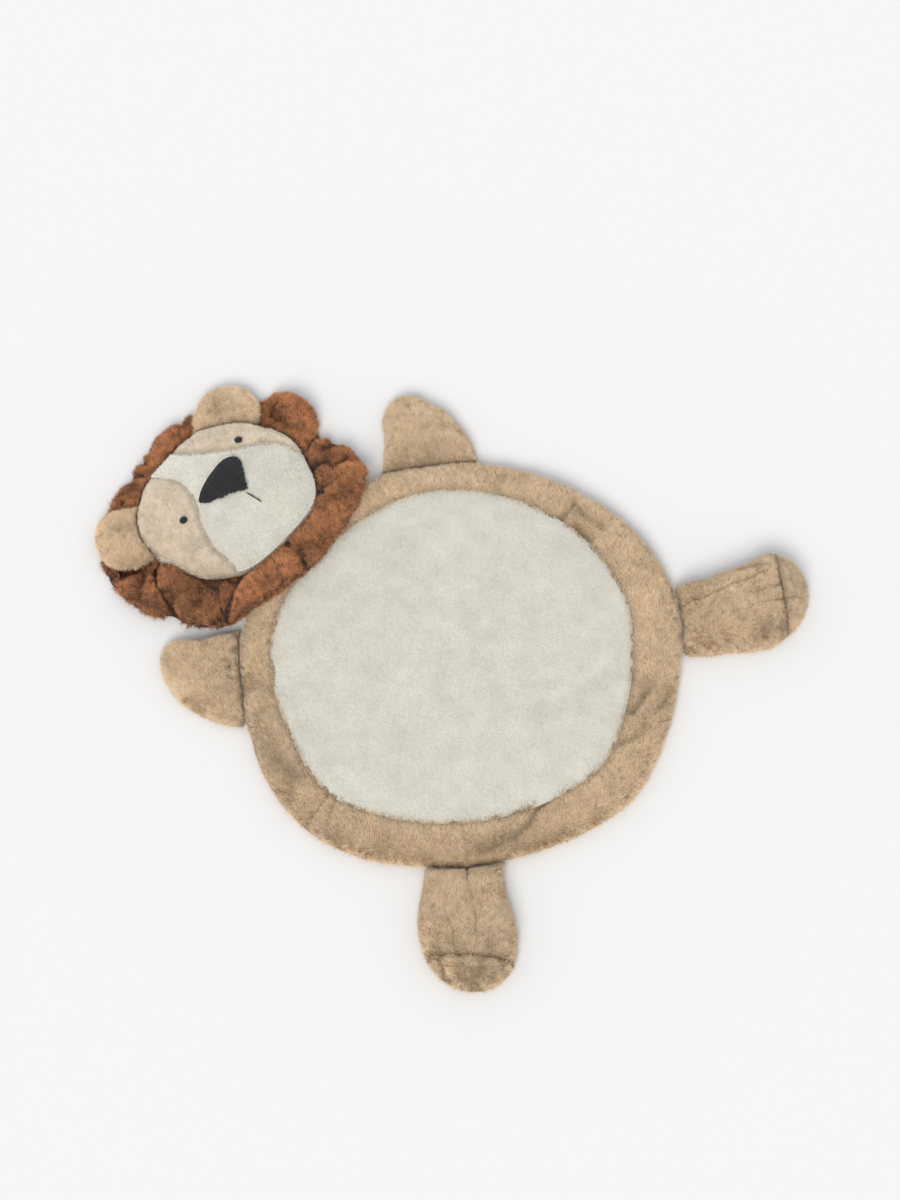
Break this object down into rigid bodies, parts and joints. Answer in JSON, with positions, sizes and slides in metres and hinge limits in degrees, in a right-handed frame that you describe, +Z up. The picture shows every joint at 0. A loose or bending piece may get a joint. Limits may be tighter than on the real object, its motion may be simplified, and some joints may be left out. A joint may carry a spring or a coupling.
{
  "type": "play mat",
  "caption": "Padded plush play mat shaped like a lion lying flat, with a round cream belly in a beige border, a stuffed head with a brown mane, flat arms and stuffed legs.",
  "frame": {"origin": "middle of the bounding box's base, on the floor the mat lies on", "axes": "+Y from the legs to the head, +X to the side of the arm and leg named right, +Z up"},
  "size_m": [0.7594, 0.8708, 0.0733],
  "materials": {
    "beige_plush": "short pile plush",
    "pale_beige_plush": "short pile plush",
    "cream_plush": "short pile plush",
    "brown_plush": "longer pile plush",
    "black_embroidery": "dense satin stitch"
  },
  "bodies": {
    "root": {"body": "beige_plush", "belly_panel": "cream_plush", "head": "pale_beige_plush", "muzzle_panel": "cream_plush", "nose": "black_embroidery", "eye_left": "black_embroidery", "eye_right": "black_embroidery", "mane": "brown_plush", "ear_left": "beige_plush", "ear_right": "beige_plush", "arm_left": "beige_plush", "arm_right": "beige_plush", "leg_left": "beige_plush", "leg_right": "beige_plush", "toe_cap_left": "beige_plush", "toe_cap_right": "beige_plush"}
  },
  "joints": []
}
